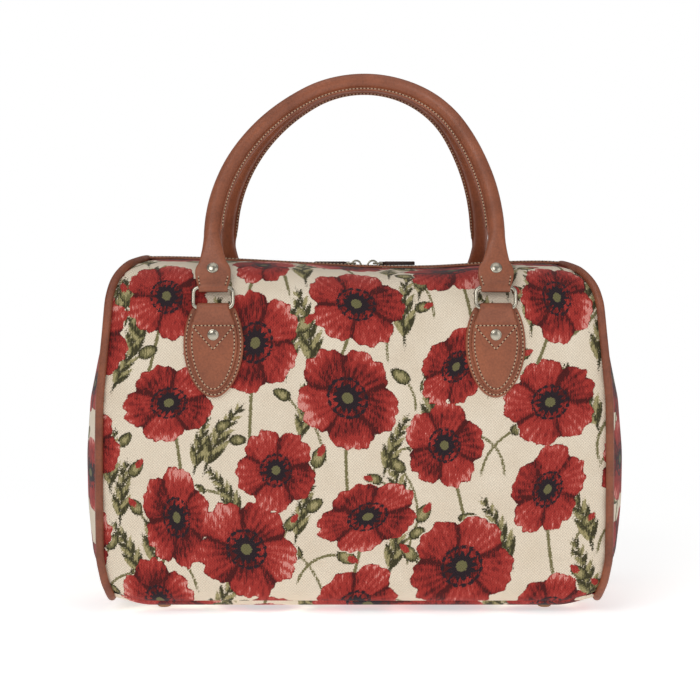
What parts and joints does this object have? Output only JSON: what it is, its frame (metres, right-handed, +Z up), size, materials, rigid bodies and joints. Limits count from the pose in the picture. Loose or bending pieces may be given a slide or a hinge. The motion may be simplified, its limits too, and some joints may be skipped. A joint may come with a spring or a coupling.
{
  "type": "carpet bag",
  "caption": "Zip-top tapestry travel bag with domed ends, leather piping, swinging rings and rolled carrying handles.",
  "frame": {"origin": "middle of the footprint, on the floor under the feet", "axes": "+X along the zip, to the right of a person who faces the front; +Y to the back; +Z up"},
  "size_m": [0.4368, 0.2074, 0.4369],
  "materials": {
    "tapestry": "woven, floral",
    "lining": "plain woven",
    "leather": "satin grain",
    "pull_leather": "satin",
    "board": "matte",
    "feet": "matte",
    "zip_tape": "woven",
    "metal": "polished nickel"
  },
  "bodies": {
    "bag": {"front_panel": "tapestry", "back_panel": "tapestry", "base_panel": "tapestry", "gussets": "tapestry", "pipings": "leather", "lining": "lining", "base_board": "board", "feet": "feet", "front_zip_binding": "leather", "back_zip_binding": "leather", "front_zip_tape": "zip_tape", "back_zip_tape": "zip_tape", "front_zip_chain": "metal", "back_zip_chain": "metal", "front_patches": "leather", "back_patches": "leather", "front_chapes": "leather", "back_chapes": "leather", "chape_rivets": "metal"},
    "front_rings": {"front_rings": "metal"},
    "front_handle": {"front_handle": "leather", "front_handle_rivets": "metal"},
    "back_rings": {"back_rings": "metal"},
    "back_handle": {"back_handle": "leather", "back_handle_rivets": "metal"},
    "left_slider": {"left_slider": "metal"},
    "left_pull": {"left_pull_loop": "metal", "left_pull_tab": "pull_leather"},
    "right_slider": {"right_slider": "metal"},
    "right_pull": {"right_pull_loop": "metal", "right_pull_tab": "pull_leather"}
  },
  "joints": [
    {"name": "front_ring_swing", "type": "hinge", "parent": "bag", "child": "front_rings", "pos_m": [0, -0.09974, 0.24], "axis": [1, 0, 0], "range_deg": [0, 150]},
    {"name": "front_handle_swing", "type": "hinge", "parent": "front_rings", "child": "front_handle", "pos_m": [0, -0.09642, 0.25565], "axis": [1, 0, 0], "range_deg": [0, 30]},
    {"name": "back_ring_swing", "type": "hinge", "parent": "bag", "child": "back_rings", "pos_m": [0, 0.09974, 0.24], "axis": [-1, 0, 0], "range_deg": [0, 150]},
    {"name": "back_handle_swing", "type": "hinge", "parent": "back_rings", "child": "back_handle", "pos_m": [0, 0.09642, 0.25565], "axis": [-1, 0, 0], "range_deg": [0, 30]},
    {"name": "left_zip_slide", "type": "slide", "parent": "bag", "child": "left_slider", "axis": [-1, 0, 0], "range_m": [0, 0.125]},
    {"name": "left_pull_swing", "type": "hinge", "parent": "left_slider", "child": "left_pull", "pos_m": [0.00095, 0, 0.2785], "axis": [0, 1, 0], "range_deg": [0, 90]},
    {"name": "right_zip_slide", "type": "slide", "parent": "bag", "child": "right_slider", "axis": [1, 0, 0], "range_m": [0, 0.115]},
    {"name": "right_pull_swing", "type": "hinge", "parent": "right_slider", "child": "right_pull", "pos_m": [0.01645, 0, 0.2785], "axis": [0, -1, 0], "range_deg": [0, 90]}
  ]
}
